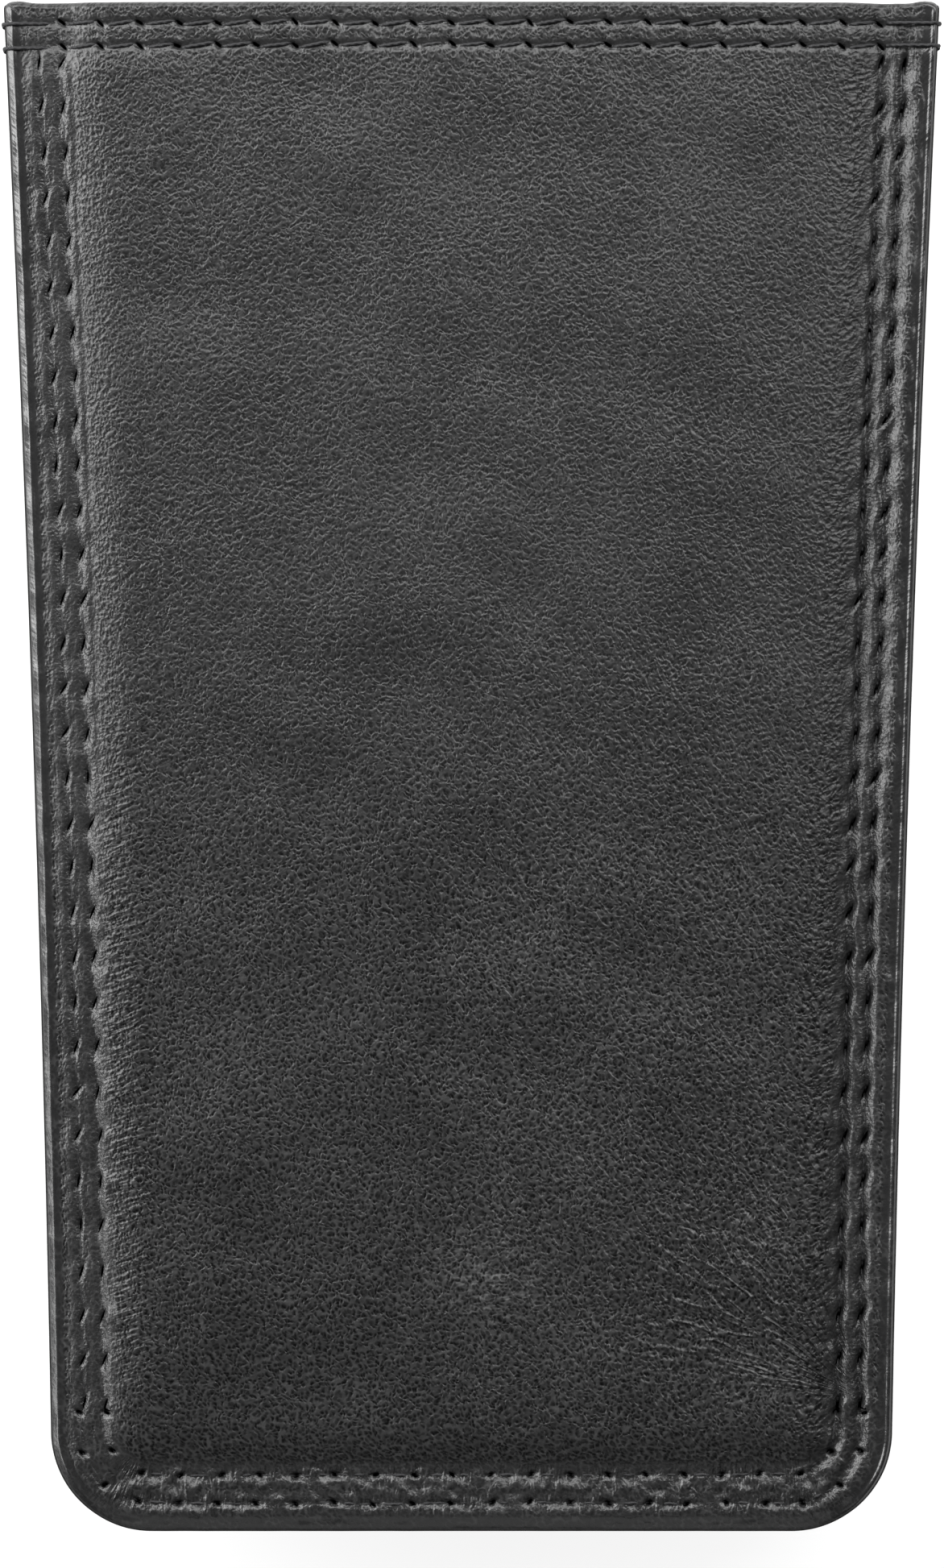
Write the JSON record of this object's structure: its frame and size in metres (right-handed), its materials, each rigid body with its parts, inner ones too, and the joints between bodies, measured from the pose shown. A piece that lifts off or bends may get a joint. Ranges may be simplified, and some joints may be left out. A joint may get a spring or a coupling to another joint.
{
  "type": "key case",
  "caption": "Flat sewn leather key sleeve, wider at its open mouth, with stitched seams, a lined pocket and a key ring on a riveted strap inside.",
  "frame": {"origin": "centre of the bounding box in X and Y, on the table under the flat back", "axes": "+Z out of the front face, +Y towards the open mouth, +X to the right of the front face"},
  "size_m": [0.0664, 0.1076, 0.0118],
  "materials": {
    "leather": "black grained leather with burnished, painted edges",
    "strap_leather": "thin smooth black leather",
    "lining": "black twill",
    "padding": "thin grey felt",
    "board": "bonded leather board",
    "tape": "woven reinforcing tape",
    "thread": "black bonded polyester thread",
    "steel": "nickel-plated steel"
  },
  "bodies": {
    "case": {"front_panel": "leather", "back_panel": "leather", "front_padding": "padding", "back_stiffener": "board", "front_lining": "lining", "back_lining": "lining", "front_mouth_tape": "tape", "back_mouth_tape": "tape", "left_outer_needle_thread": "thread", "left_inner_needle_thread": "thread", "left_outer_bobbin_thread": "thread", "left_inner_bobbin_thread": "thread", "right_outer_needle_thread": "thread", "right_inner_needle_thread": "thread", "right_outer_bobbin_thread": "thread", "right_inner_bobbin_thread": "thread", "base_outer_needle_thread": "thread", "base_inner_needle_thread": "thread", "base_outer_bobbin_thread": "thread", "base_inner_bobbin_thread": "thread", "front_mouth_upper_needle_thread": "thread", "front_mouth_lower_needle_thread": "thread", "front_mouth_upper_bobbin_thread": "thread", "front_mouth_lower_bobbin_thread": "thread", "back_mouth_upper_needle_thread": "thread", "back_mouth_lower_needle_thread": "thread", "back_mouth_upper_bobbin_thread": "thread", "back_mouth_lower_bobbin_thread": "thread", "rivet_post": "steel", "rivet_cap": "steel"},
    "strap": {"key_strap": "strap_leather"},
    "ring": {"key_ring": "steel"}
  },
  "joints": [
    {"name": "strap_swing", "type": "hinge", "parent": "case", "child": "strap", "pos_m": [0, -0.03615, 0.00355], "axis": [0, 0, 1], "range_deg": [-9, 9]},
    {"name": "ring_turn", "type": "hinge", "parent": "strap", "child": "ring", "pos_m": [0, 0.02785, 0.00477], "axis": [0, 0, 1], "continuous": true}
  ]
}
